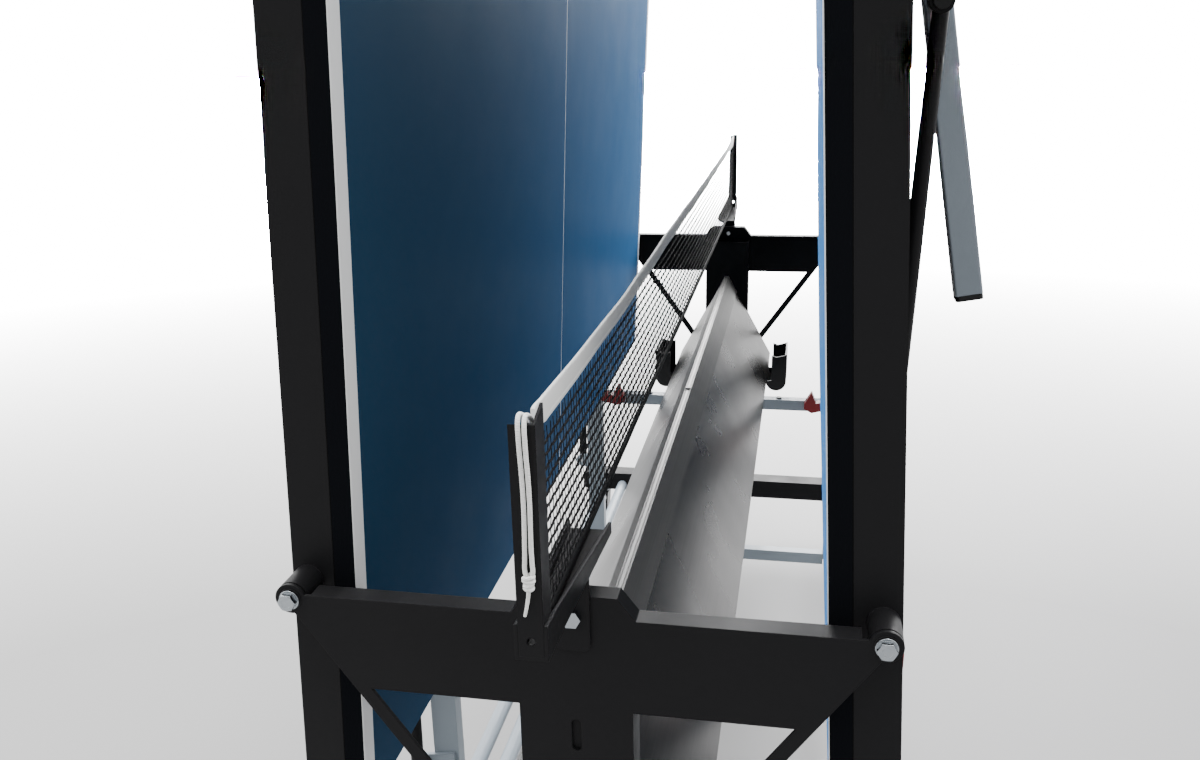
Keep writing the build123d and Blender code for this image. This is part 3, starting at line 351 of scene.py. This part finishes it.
def zinc_finish(name):
    """Bright zinc: bluish metal, slightly mottled."""
    f = Finish(name)
    cloud = f.noise(420.0, 3.0)
    f.set(Base_Color=f.blend(cloud, (0.36, 0.39, 0.42), (0.48, 0.51, 0.53)),
          Metallic=1.0, Roughness=f.spread(cloud, 0.14, 0.24))
    f.relief(f.noise(2600.0, 2.0), 0.00003, 0.4, 0.0004)
    return f.material


def moulded(name, color, rough, shine, edge=0.0008):
    """Moulded plastic with a fine spark-eroded grain."""
    f = Finish(name)
    cloud = f.noise(40.0, 4.0)
    f.set(Base_Color=f.blend(cloud, tone(color, 0.92), tone(color, 1.1)),
          Roughness=f.spread(cloud, rough - 0.05, rough + 0.06, 0.3, 0.7), Specular_IOR_Level=shine)
    f.relief(f.noise(1800.0, 2.0), 0.00005, 0.6, edge)
    return f.material


def rubber_finish(name):
    """Castor tread: dark rubber, scuffed round its crown."""
    f = Finish(name)
    scuff = f.noise(70.0, 6.0)
    f.set(Base_Color=f.blend(scuff, (0.030, 0.030, 0.031), (0.075, 0.074, 0.072)),
          Roughness=f.spread(scuff, 0.55, 0.8))
    f.relief(f.noise(900.0, 4.0), 0.00012, 0.8, 0.001)
    return f.material


def net_finish(name):
    """Black knitted cord."""
    f = Finish(name)
    fibre = f.noise(1700.0, 3.0)
    f.set(Base_Color=f.blend(fibre, (0.003, 0.003, 0.0035), (0.010, 0.010, 0.011)), Roughness=0.78)
    f.set(Specular_IOR_Level=0.15)
    f.relief(fibre, 0.0002, 0.8)
    return f.material


def tape_finish(name):
    """White woven tape: crossed threads and a slightly soiled, matte surface."""
    f = Finish(name)
    weft = f.math("SINE", f.math("MULTIPLY", f.along((0, 1, 0)), 2 * pi / 0.0009))
    warp = f.math("SINE", f.math("MULTIPLY", f.along((0, 0, 1)), 2 * pi / 0.0008))
    weave = f.math("MULTIPLY", weft, warp)
    cloud = f.noise(14.0, 4.0)
    f.set(Base_Color=f.blend(cloud, (0.78, 0.78, 0.76), (0.92, 0.92, 0.90)), Roughness=0.85)
    f.set(Sheen_Weight=0.2)
    f.relief(weave, 0.00012, 0.7)
    return f.material


def braid_finish(name):
    """White braided cord: strands that cross as they wind round it."""
    f = Finish(name)
    wave = f.math("SINE", f.math("MULTIPLY", f.along((0.35, 0.2, 1.0)), 2 * pi / 0.0016))
    other = f.math("SINE", f.math("MULTIPLY", f.along((-0.5, 0.3, 1.0)), 2 * pi / 0.0016))
    f.set(Base_Color=f.blend(f.noise(300.0, 3.0), (0.82, 0.82, 0.80), (0.95, 0.95, 0.93)),
          Roughness=0.8)
    f.set(Sheen_Weight=0.2)
    f.relief(f.math("MAXIMUM", wave, other), 0.0002, 0.8)
    return f.material


LINE = 0.020
CREST = 0.0222
CENTRE_LINE = 0.003
BLUE = (0.0150, 0.043, 0.082)
WHITE_LINE = (0.90, 0.90, 0.89)
BOARD_EDGE = (0.005, 0.0055, 0.007)
BOARD_BACK = (0.006, 0.006, 0.0065)

black_coat = powder_coat("black_coat", (0.0095, 0.0094, 0.0102), 0.45, 0.5, 1.20)
grey_coat = powder_coat("grey_coat", (0.24, 0.28, 0.32), 0.36, 0.5, 1.35)
castor_coat = powder_coat("castor_coat", (0.008, 0.008, 0.0085), 0.30, 0.5, 1.35)
silver = brushed_sheet("silver_sheet")
zinc = zinc_finish("bright_zinc")
dull_strip = brushed_sheet("strip_sheet", 0.8)
black_plastic = moulded("black_plastic", (0.0045, 0.0045, 0.005), 0.45, 0.3)
red_plastic = moulded("red_plastic", (0.20, 0.006, 0.010), 0.34, 0.4)
rubber = rubber_finish("castor_rubber")
net_black = net_finish("net_black")
tape_white = tape_finish("tape_white")
cord_white = braid_finish("cord_white")

SLOT_FINISH = {
    "black_steel": black_coat, "grey_steel": grey_coat, "silver_sheet": silver,
    "zinc_steel": zinc, "black_screws": black_plastic, "castor_steel": castor_coat,
    "castor_tyre": rubber, "black_plastic": black_plastic, "red_plastic": red_plastic,
    "net_cord": net_black, "white_tape": tape_white, "white_cord": cord_white,
    "playing_board": black_coat,
}
for part in frame["record"]["subparts"]:
    thing = nodes_of[part["node"]]
    if thing.data.materials:
        for index in range(len(thing.data.materials)):
            thing.material_slots[index].material = SLOT_FINISH[part["material_slot"]]
    else:
        thing.data.materials.append(SLOT_FINISH[part["material_slot"]])


# ---- camera, floor and light ----
CAMERA = (0.1603, -1.4846, 1.1401)
WORLD_DIM = 0.75
WORLD_BRIGHT = 4.6
WORLD_SEEN = 20.0
PAINTED_GLOW_FROM = 2.15      # metres from the camera's foot where the floor's painted glow starts to whiten it
PAINTED_GLOW_RATE = 1.22      # doublings of the painted glow for each metre past that
FLOOR_HALF = 30.0


def add_camera():
    """Camera near the near end plate, a little above the net, looking down along the table."""
    lens = bpy.data.cameras.new("view")
    lens.sensor_width = 36.0
    lens.lens = 31.96
    lens.clip_end = 60.0
    camera = bpy.data.objects.new("view", lens)
    bpy.context.scene.collection.objects.link(camera)
    right = Vector((0.98229, 0.18614, -0.02153))
    up = Vector((-0.03764, 0.30858, 0.95045))
    ahead = Vector((-0.18356, 0.93281, -0.31013))
    turn = Matrix((right, up, -ahead)).transposed().to_4x4()
    camera.matrix_world = Matrix.Translation(CAMERA) @ turn
    bpy.context.scene.camera = camera


def seen_only(f, value):
    """A strength that only what the camera sees directly carries, so it lights nothing."""
    path = f.add("ShaderNodeLightPath")
    return f.math("MULTIPLY", value, path.outputs["Is Camera Ray"])


def add_floor():
    """Pale floor with a painted glow, seen only by the camera, that whitens it far from the table,
    doubling in brightness as it goes.
    """
    f = Finish("pale_floor")
    gap = f.add("ShaderNodeVectorMath", operation="DISTANCE")
    f.put(gap.inputs[0], f.place)
    gap.inputs[1].default_value = (CAMERA[0], CAMERA[1], 0.0)
    # painted light: the floor glows white to the camera alone, more and more past a set distance
    # from the camera's foot
    doubling = f.math("MULTIPLY", f.math("SUBTRACT", gap.outputs["Value"], PAINTED_GLOW_FROM), PAINTED_GLOW_RATE)
    painted_glow = f.math("MAXIMUM", f.math("SUBTRACT", f.math("POWER", 2.0, doubling), 1.0), 0.0)
    # painted shade: the floor's base grey darkens, and cools a little, from the -x side to the +x
    # side
    painted_side_shade = f.spread(f.along((1, 0, 0)), 0.0, 1.0, -0.9, 0.9)
    f.set(Base_Color=f.blend(painted_side_shade, (0.27, 0.27, 0.27), (0.20, 0.20, 0.204)), Roughness=0.55)
    f.set(Emission_Color=(1.0, 1.0, 1.0, 1.0), Emission_Strength=seen_only(f, painted_glow))
    mesh = bpy.data.meshes.new("floor")
    size = FLOOR_HALF
    mesh.from_pydata([(-size, -size, 0), (size, -size, 0), (size, size, 0), (-size, size, 0)], [],
                     [(0, 1, 2, 3)])
    mesh.materials.append(f.material)
    floor = bpy.data.objects.new("floor", mesh)
    bpy.context.scene.collection.objects.link(floor)


def add_light(name, place, target, width, height, power):
    """Soft rectangular light aimed at a point."""
    lamp = bpy.data.lights.new(name, "AREA")
    lamp.shape = "RECTANGLE"
    lamp.size = width
    lamp.size_y = height
    lamp.energy = power
    thing = bpy.data.objects.new(name, lamp)
    bpy.context.scene.collection.objects.link(thing)
    way = Vector(target) - Vector(place)
    thing.rotation_euler = way.to_track_quat("-Z", "Y").to_euler()
    thing.location = place


def add_world():
    """White all round: brightest over and beyond the table, dim behind the camera."""
    world = bpy.data.worlds.new("studio")
    world.use_nodes = True
    nodes = world.node_tree.nodes
    links = world.node_tree.links
    back = nodes["Background"]
    way = nodes.new("ShaderNodeTexCoord").outputs["Generated"]
    dot = nodes.new("ShaderNodeVectorMath")
    dot.operation = "DOT_PRODUCT"
    links.new(way, dot.inputs[0])
    dot.inputs[1].default_value = (-0.10, 0.80, 0.59)
    ramp = nodes.new("ShaderNodeMapRange")
    ramp.interpolation_type = "SMOOTHSTEP"
    links.new(dot.outputs["Value"], ramp.inputs["Value"])
    ramp.inputs["From Min"].default_value = -0.55
    ramp.inputs["From Max"].default_value = 0.95
    ramp.inputs["To Min"].default_value = WORLD_DIM
    ramp.inputs["To Max"].default_value = WORLD_BRIGHT
    path = nodes.new("ShaderNodeLightPath")
    pick = nodes.new("ShaderNodeMix")
    links.new(path.outputs["Is Camera Ray"], pick.inputs["Factor"])
    links.new(ramp.outputs["Result"], pick.inputs[2])
    pick.inputs[3].default_value = WORLD_SEEN
    links.new(pick.outputs[0], back.inputs["Strength"])
    back.inputs["Color"].default_value = (1.0, 1.0, 1.0, 1.0)
    bpy.context.scene.world = world


add_camera()
add_floor()
add_world()
add_light("top", (0.0, 0.9, 4.2), (0, 0.3, 0.8), 3.4, 3.4, 230)
add_light("beyond", (0.5, 4.2, 2.6), (0, 0, 1.0), 3.0, 2.4, 420)


# ---- boards ----
def add_board(name, side):
    """Board with softened edges, lying in the half's own directions."""
    outline = [(-EDGE_IN, -HALF_WIDTH), (EDGE_OUT, -HALF_WIDTH), (EDGE_OUT, HALF_WIDTH),
               (-EDGE_IN, HALF_WIDTH)]
    points, faces = prism(outline, lambda u, v, w: half_to_world(side, u, v, w), 0.0, BOARD)
    board = make_piece(f"playing_board_{name}", points, faces, board_finish(f"board_{name}", side),
                       f"half_{name}")
    soften(board, BOARD_ROUND, 3)
    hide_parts(f"board_{name}")


for name, side in SIDES.items():
    add_board(name, side)


# ---- net: strands, hems and bands ----
NET_END = 0.889
NET_LOW = 0.764
CELL = 0.0091
STRAND = 0.00036
ROW_STRAND = 0.00088
ROW_START = 0.006
STRAND_WAVE = 0.00035
HEM_HIGH = 0.0085
HEM_THICK = 0.0022
SIDE_HEM = 0.002
TAPE = 0.015
TAPE_END = 0.886
TAPE_RISE = 0.0072
RISE_FROM = 0.55
RISE_RUN = 0.301
RISE_POWER = 1.4
FOLD = 0.0014
GATHER_FROM = 0.860
GATHER_RUN = 0.026
TAPE_WIDER = 0.2
STITCH = 0.0032
STITCH_LOW = 0.0123


def add_net():
    """Square mesh of cords in hems: each cord is a thin tube that sways as a sine of the way along
    it, half a wave per cell, turned about from one cord to the next. The lower hem is an oval
    carried along the net, with two faint sines in its height. A round hem stands at each end."""
    top = NET_TOP - TAPE
    first_row = NET_LOW + ROW_START
    rows = int(round((top - first_row) / CELL))
    cols = int(round(2 * NET_END / CELL))
    z_rows = np.linspace(first_row, top, rows + 1)[:-1]
    y_cols = np.linspace(-NET_END, NET_END, cols + 1)[1:-1]
    shapes = []
    y = np.linspace(-NET_END, NET_END, 2 * cols + 1)
    for i, z in enumerate(z_rows[1:]):
        wave = STRAND_WAVE * np.sin(pi * y / CELL) * (1 if i % 2 else -1)
        path = np.stack([wave, y, z + 0 * y], -1)
        shapes.append(tube(path, ROW_STRAND, 6, capped=False))
    z = np.linspace(NET_LOW, top, 2 * rows + 1)
    for j, yy in enumerate(y_cols):
        wave = STRAND_WAVE * np.sin(pi * (z - NET_LOW) / CELL) * (-1 if j % 2 else 1)
        path = np.stack([wave, yy + 0 * z, z], -1)
        shapes.append(tube(path, STRAND, 5, capped=False))
    points, faces = merge(*shapes)
    net = make_piece("netting", points, faces, net_black, "chassis", 80)
    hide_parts("net")
    y = np.linspace(-NET_END, NET_END, 240)
    droop = 0.0003 * np.sin(y * 23.0) + 0.0002 * np.sin(y * 61.0)
    sides = 10
    loop = np.linspace(0, 2 * pi, sides, endpoint=False)
    x = HEM_THICK * np.cos(loop)
    z = NET_LOW + HEM_HIGH / 2 + HEM_HIGH / 2 * np.sin(loop)
    ring = np.stack([np.broadcast_to(x, (len(y), sides)),
                     np.broadcast_to(y[:, None], (len(y), sides)),
                     z[None, :] + droop[:, None]], -1)
    hem = [(ring, ring_quads(len(y), sides) + [cap(0, sides), cap(len(y) - 1, sides)])]
    for end in ENDS.values():
        z = np.linspace(NET_LOW, top, 30)
        path = np.stack([0 * z, end * (NET_END - SIDE_HEM) + 0 * z, z], -1)
        hem.append(tube(path, SIDE_HEM, 8))
    points, faces = merge(*hem)
    make_piece("net_hems", points, faces, net_black, "chassis", 60)


def tape_line(y):
    """Where the tape runs at each y: how far it has risen towards its ends, as the power RISE_POWER
    of the way gone past RISE_FROM, and how far two sines of y sway it to one side."""
    rise = np.clip((np.abs(y) - RISE_FROM) / RISE_RUN, 0, 1.12) ** RISE_POWER
    sway = 0.0005 * np.sin(y * 9.0) + 0.0003 * np.sin(y * 31.0)
    return rise, sway


def add_tape():
    """Folded tape over the net's top edge: a flat loop whose top is half a circle, carried along
    the net. It is deepest where it has risen. Past GATHER_FROM the cord gathers it, so it loses
    depth in step with the way gone, and a quick sine of y puckers it."""
    y = np.linspace(-TAPE_END, TAPE_END, 300)
    half = np.linspace(0, pi, 9)
    x = np.concatenate([[-0.0011, -0.0013], -FOLD * np.cos(half), [0.0013, 0.0011]])
    z = np.concatenate([[-TAPE, -0.009], -FOLD + FOLD * np.sin(half), [-0.009, -TAPE]])
    rise, sway = tape_line(y)
    gather = np.clip((np.abs(y) - GATHER_FROM) / GATHER_RUN, 0, 1)
    pucker = gather * 0.0008 * np.sin(y * 900.0)
    depth = z[None, :] * (1 + TAPE_WIDER * rise[:, None]) * (1 - 0.6 * gather[:, None])
    ring = np.stack([x[None, :] + (sway + pucker)[:, None],
                     np.broadcast_to(y[:, None], (len(y), len(x))),
                     NET_TOP + depth + TAPE_RISE * rise[:, None]], -1)
    faces = ring_quads(len(y), len(x)) + [cap(0, len(x)), cap(len(y) - 1, len(x))]
    tape = make_piece("top_tape", ring, faces, tape_white, "chassis", 50)
    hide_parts("net_tape")


def add_stitching():
    """Thread of the tape's seam: it dips in and out as the sine of the way along, once per stitch,
    on both faces, and keeps to the tape's lower edge as that rises towards its ends."""
    y = np.arange(-0.858, 0.858, STITCH / 6)
    rise, sway = tape_line(y)
    z = NET_TOP - STITCH_LOW * (1 + TAPE_WIDER * rise) + TAPE_RISE * rise
    dip = 0.00035 * np.sin(2 * pi * y / STITCH)
    shapes = [tube(np.stack([sway + face * (0.00125 + dip), y, z], -1), 0.00028, 5)
              for face in (-1, 1)]
    points, faces = merge(*shapes)
    make_piece("tape_stitching", points, faces, tape_white, "chassis", 60)


add_net()
add_tape()
add_stitching()


# ---- metal trim and fixings ----
BEAM_END = 0.766
STRIP_LOW = 0.637
PLATE_FACE = 0.798
BOLT_FLATS = 0.013
BOLT_HEAD = 0.0053
BOLT_R = 0.004
BOLT_LENGTH = 0.036
WASHER = (0.0045, 0.0083, 0.0015)   # inner and outer radius, and thickness


def add_ridge_strip():
    """Flat strip along the beam's ridge with two fine grooves, one profile carried along it."""
    half = [(4.5, 0.0), (4.5, 1.2), (4.2, 1.5), (3.0, 1.5), (2.8, 0.7), (2.0, 0.7), (1.8, 1.5)]
    outline = np.array(half + [(-u, v) for u, v in half[::-1]])
    n = len(outline)
    y = np.array([-BEAM_END, BEAM_END])
    ring = np.stack([np.broadcast_to(outline[:, 0] / 1000, (2, n)),
                     np.broadcast_to(y[:, None], (2, n)),
                     np.broadcast_to(STRIP_LOW + outline[:, 1] / 1000, (2, n))], -1)
    faces = ring_quads(2, n) + [cap(0, n), cap(1, n)[::-1]]
    strip = make_piece("ridge_strip", ring, faces, dull_strip, "chassis", 25)
    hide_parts("beam_strip")


def hex_head(centre, axis, flats, height):
    """Bolt head: at angle a its flats reach out to half their distance over the cosine of the angle
    from the nearest flat's middle. A cone of 30 degrees cuts the corners, so the tops of the flats
    are shallow arcs."""
    sides = 48
    a = np.linspace(0, 2 * pi, sides, endpoint=False)
    inner = flats / 2
    reach = inner / np.cos((a + pi / 6) % (pi / 3) - pi / 6)
    shoulder = height - (reach - inner * 0.97) * tan(radians(30))
    rows = [(reach, 0 * a), (reach, shoulder), (0 * a + inner * 0.97, 0 * a + height),
            (0 * a + inner * 0.60, 0 * a + height), (0 * a + inner * 0.56, 0 * a + height - 0.0002)]
    axis = np.asarray(axis, float)
    u = np.array([0.0, 0.0, 1.0])
    v = np.cross(axis, u)
    points = np.array([np.asarray(centre) + r[:, None] * (np.cos(a)[:, None] * u
                       + np.sin(a)[:, None] * v) + h[:, None] * axis for r, h in rows])
    faces = ring_quads(len(rows), sides) + [cap(0, sides), cap(len(rows) - 1, sides)[::-1]]
    return points.reshape(-1, 3), faces


def washer(centre, axis, inner, outer, thick):
    """Flat ring: a rectangle with its four corners cut off, turned round the axis."""
    edge = 0.0002
    profile = [(inner, edge), (inner + edge, 0), (outer - edge, 0), (outer, edge),
               (outer, thick - edge), (outer - edge, thick), (inner + edge, thick),
               (inner, thick - edge), (inner, edge)]
    return lathe(profile, centre, axis, 40)


def add_pivot_bolts(name, side):
    """Bolt and washer at each end of a half's hinge line, the head on the washer and the washer on
    the end plate."""
    shapes = []
    for end in ENDS.values():
        axis = (0, end, 0)
        x = side * HINGE_X
        seat = PLATE_FACE + WASHER[2]
        shapes.append(washer((x, end * PLATE_FACE, HINGE_Z), axis, *WASHER))
        shapes.append(hex_head((x, end * seat, HINGE_Z), axis, BOLT_FLATS, BOLT_HEAD))
        shapes.append(lathe([(BOLT_R, 0), (BOLT_R, BOLT_LENGTH)], (x, end * HALF_WIDTH, HINGE_Z),
                            axis, 20))
    points, faces = merge(*shapes)
    bolts = make_piece(f"pivot_bolt_heads_{name}", points, faces, zinc, f"half_{name}",
                       28)
    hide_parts(f"pivot_bolts_{name}")


add_ridge_strip()
for name, side in SIDES.items():
    add_pivot_bolts(name, side)


# ---- tension cord ----
CORD_R = 0.0015
KNOT_CORD = 0.0014
CORD_ROUTE = [(-1.8, -889.0, 187.0), (-2.2, -894.0, 197.0), (-2.4, -903.0, 204.5),
              (-1.8, -915.5, 208.5), (-0.8, -920.0, 196.0), (0.4, -918.0, 158.0),
              (-0.4, -918.2, 120.0), (-1.4, -918.4, 103.0), (4.6, -918.4, 102.0),
              (3.4, -918.2, 119.0), (4.2, -918.0, 158.0), (3.0, -920.0, 195.0),
              (2.2, -915.5, 208.0), (1.6, -903.0, 204.0), (1.8, -894.0, 196.5),
              (2.2, -889.0, 186.5)]


def add_tension_cord():
    """The net's tension cord, a smooth line through the middle of its route."""
    curve = bpy.data.curves.new("tension_cord_line", "CURVE")
    curve.dimensions = "3D"
    spline = curve.splines.new("NURBS")
    spline.points.add(len(CORD_ROUTE) - 1)
    for point, (x, y, z) in zip(spline.points, CORD_ROUTE):
        point.co = (x / 1000, y / 1000, hinge_height(z), 1.0)
    spline.order_u = 3
    spline.use_endpoint_u = True
    curve.resolution_u = 12
    curve.bevel_depth = CORD_R
    curve.bevel_resolution = 4
    curve.use_fill_caps = True
    cord = bpy.data.objects.new("tension_cord_run", curve)
    bpy.context.scene.collection.objects.link(cord)
    curve.materials.append(cord_white)
    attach(cord, "chassis")
    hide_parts("tension_cord")
    knot = knot_shape()
    x, y, z = CORD_ROUTE[0]


def knot_shape():
    """Overhand knot round the bight of the cord, and the short tail under it: each wrap is a
    flattened turn (cos t, sin t) that climbs as it goes round."""
    shapes = []
    t = np.linspace(0, 2 * pi * 2.2, 70)
    for z, wide, start in ((101.0, 3.1, 0.4), (96.0, 2.4, 2.0)):
        a = t + start
        path = np.stack([1.2 + wide * np.cos(a), -918.6 + 2.2 * np.sin(a),
                         z + 1.1 * np.cos(0.5 * a) + 0.45 * t / pi], -1) / 1000
        path[:, 2] += HINGE_Z
        shapes.append(tube(path, KNOT_CORD, 8))
    tail = np.linspace(0, 1, 14)
    path = np.stack([0.9 - 3.0 * tail ** 1.5, -918.7 + 0.3 * np.sin(5 * tail),
                     95.0 - 19.0 * tail], -1) / 1000
    path[:, 2] += HINGE_Z
    shapes.append(tube(path, np.linspace(KNOT_CORD, 0.0010, 14), 8))
    points, faces = merge(*shapes)
    return make_piece("cord_knot", points, faces, cord_white, "chassis", 60)


add_tension_cord()
